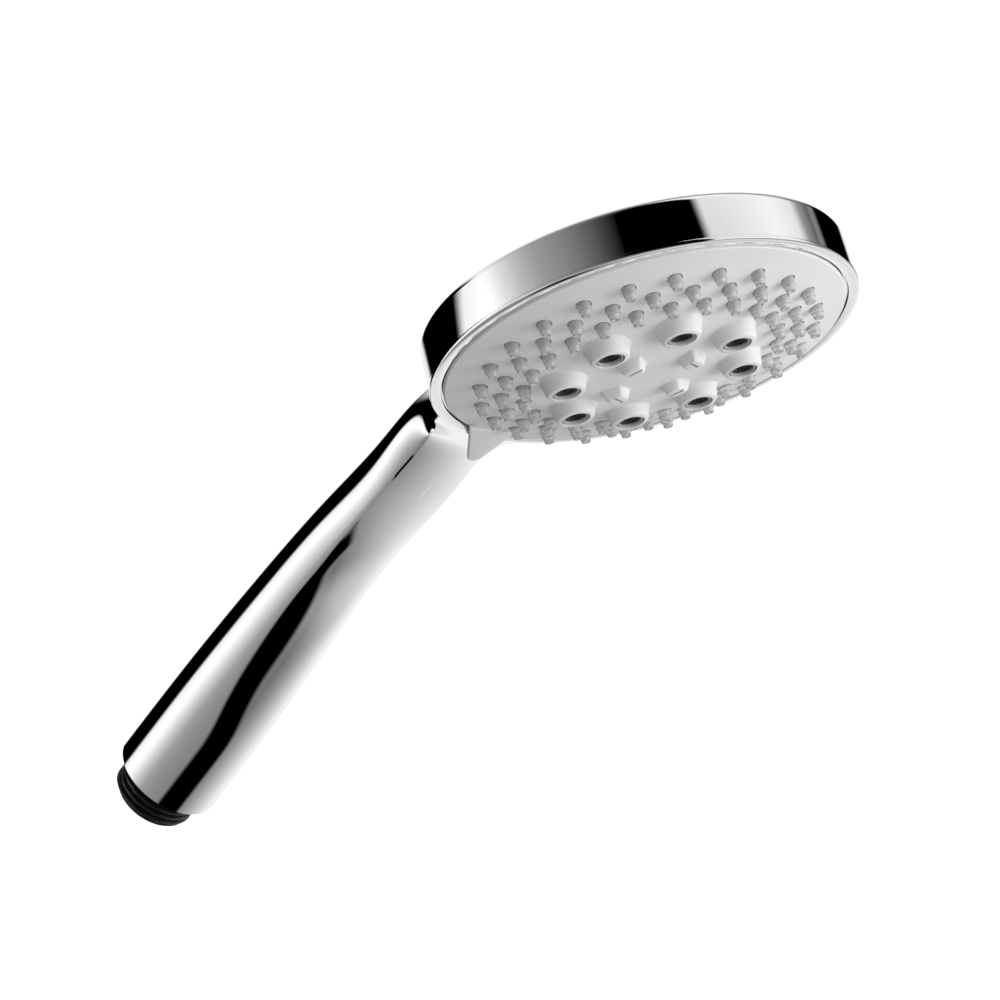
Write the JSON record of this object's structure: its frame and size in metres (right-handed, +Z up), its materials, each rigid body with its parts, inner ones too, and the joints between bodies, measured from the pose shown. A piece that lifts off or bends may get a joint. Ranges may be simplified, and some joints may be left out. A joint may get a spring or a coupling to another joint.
{
  "type": "handheld shower head",
  "caption": "Handheld shower head with a chromed handle and drum, and a round white face that turns to choose between sprays.",
  "frame": {"origin": "centre of the threaded hose connection's end face", "axes": "+Z up the lower handle from the hose end towards the head, -Y the side that the spray face looks to (it tips down), +X to the right of someone looking along +Y"},
  "size_m": [0.096, 0.064, 0.2374],
  "materials": {
    "chrome_plate": "mirror-bright chrome plating on plastic",
    "face_plastic": "fine matt white plastic",
    "nozzle_silicone": "translucent milky silicone",
    "jet_insert": "dark glossy plastic with a pale seat",
    "grey_plastic": "plain grey moulded plastic",
    "natural_plastic": "unpainted moulded plastic",
    "black_plastic": "black moulded plastic, slightly glossy",
    "steel": "plain stainless steel",
    "seal_rubber": "matt black rubber"
  },
  "bodies": {
    "handset": {"body_shell": "chrome_plate", "face_bezel": "chrome_plate", "engine_base": "natural_plastic", "screw_washer": "steel", "port_seal": "seal_rubber", "inlet_oring": "seal_rubber", "detent_spring": "steel", "water_tube": "natural_plastic", "tube_oring": "seal_rubber", "nipple": "black_plastic", "nipple_oring": "seal_rubber", "flow_limiter": "grey_plastic", "check_valve_body": "natural_plastic", "valve_oring": "seal_rubber", "check_valve_spring": "steel"},
    "spray_selector": {"spray_face": "face_plastic", "nozzle_mat": "nozzle_silicone", "jet_insert_1": "jet_insert", "jet_insert_2": "jet_insert", "jet_insert_3": "jet_insert", "jet_insert_4": "jet_insert", "jet_insert_5": "jet_insert", "jet_insert_6": "jet_insert", "jet_insert_7": "jet_insert", "jet_insert_8": "jet_insert", "rotor": "grey_plastic", "rotor_screw_1": "steel", "rotor_screw_2": "steel", "rotor_screw_3": "steel", "rotor_screw_4": "steel", "centre_screw": "steel"},
    "check_valve": {"check_valve_poppet": "grey_plastic"},
    "detent": {"detent_plunger": "natural_plastic"}
  },
  "joints": [
    {"name": "spray_turn", "type": "hinge", "parent": "handset", "child": "spray_selector", "pos_m": [0, -0.03299, 0.18896], "axis": [0, -0.9426, -0.3338], "range_deg": [-30, 30]},
    {"name": "check_valve_lift", "type": "slide", "parent": "handset", "child": "check_valve", "axis": [0, 0, 1], "range_m": [0, 0.002], "stiffness_N_per_m": 60, "springref_m": -0.001, "deforming": ["check_valve_spring"]},
    {"name": "detent_press", "type": "slide", "parent": "handset", "child": "detent", "axis": [0, 0.9426, 0.3338], "range_m": [0, 0.0006], "stiffness_N_per_m": 600, "springref_m": -0.001, "deforming": ["detent_spring"]}
  ]
}
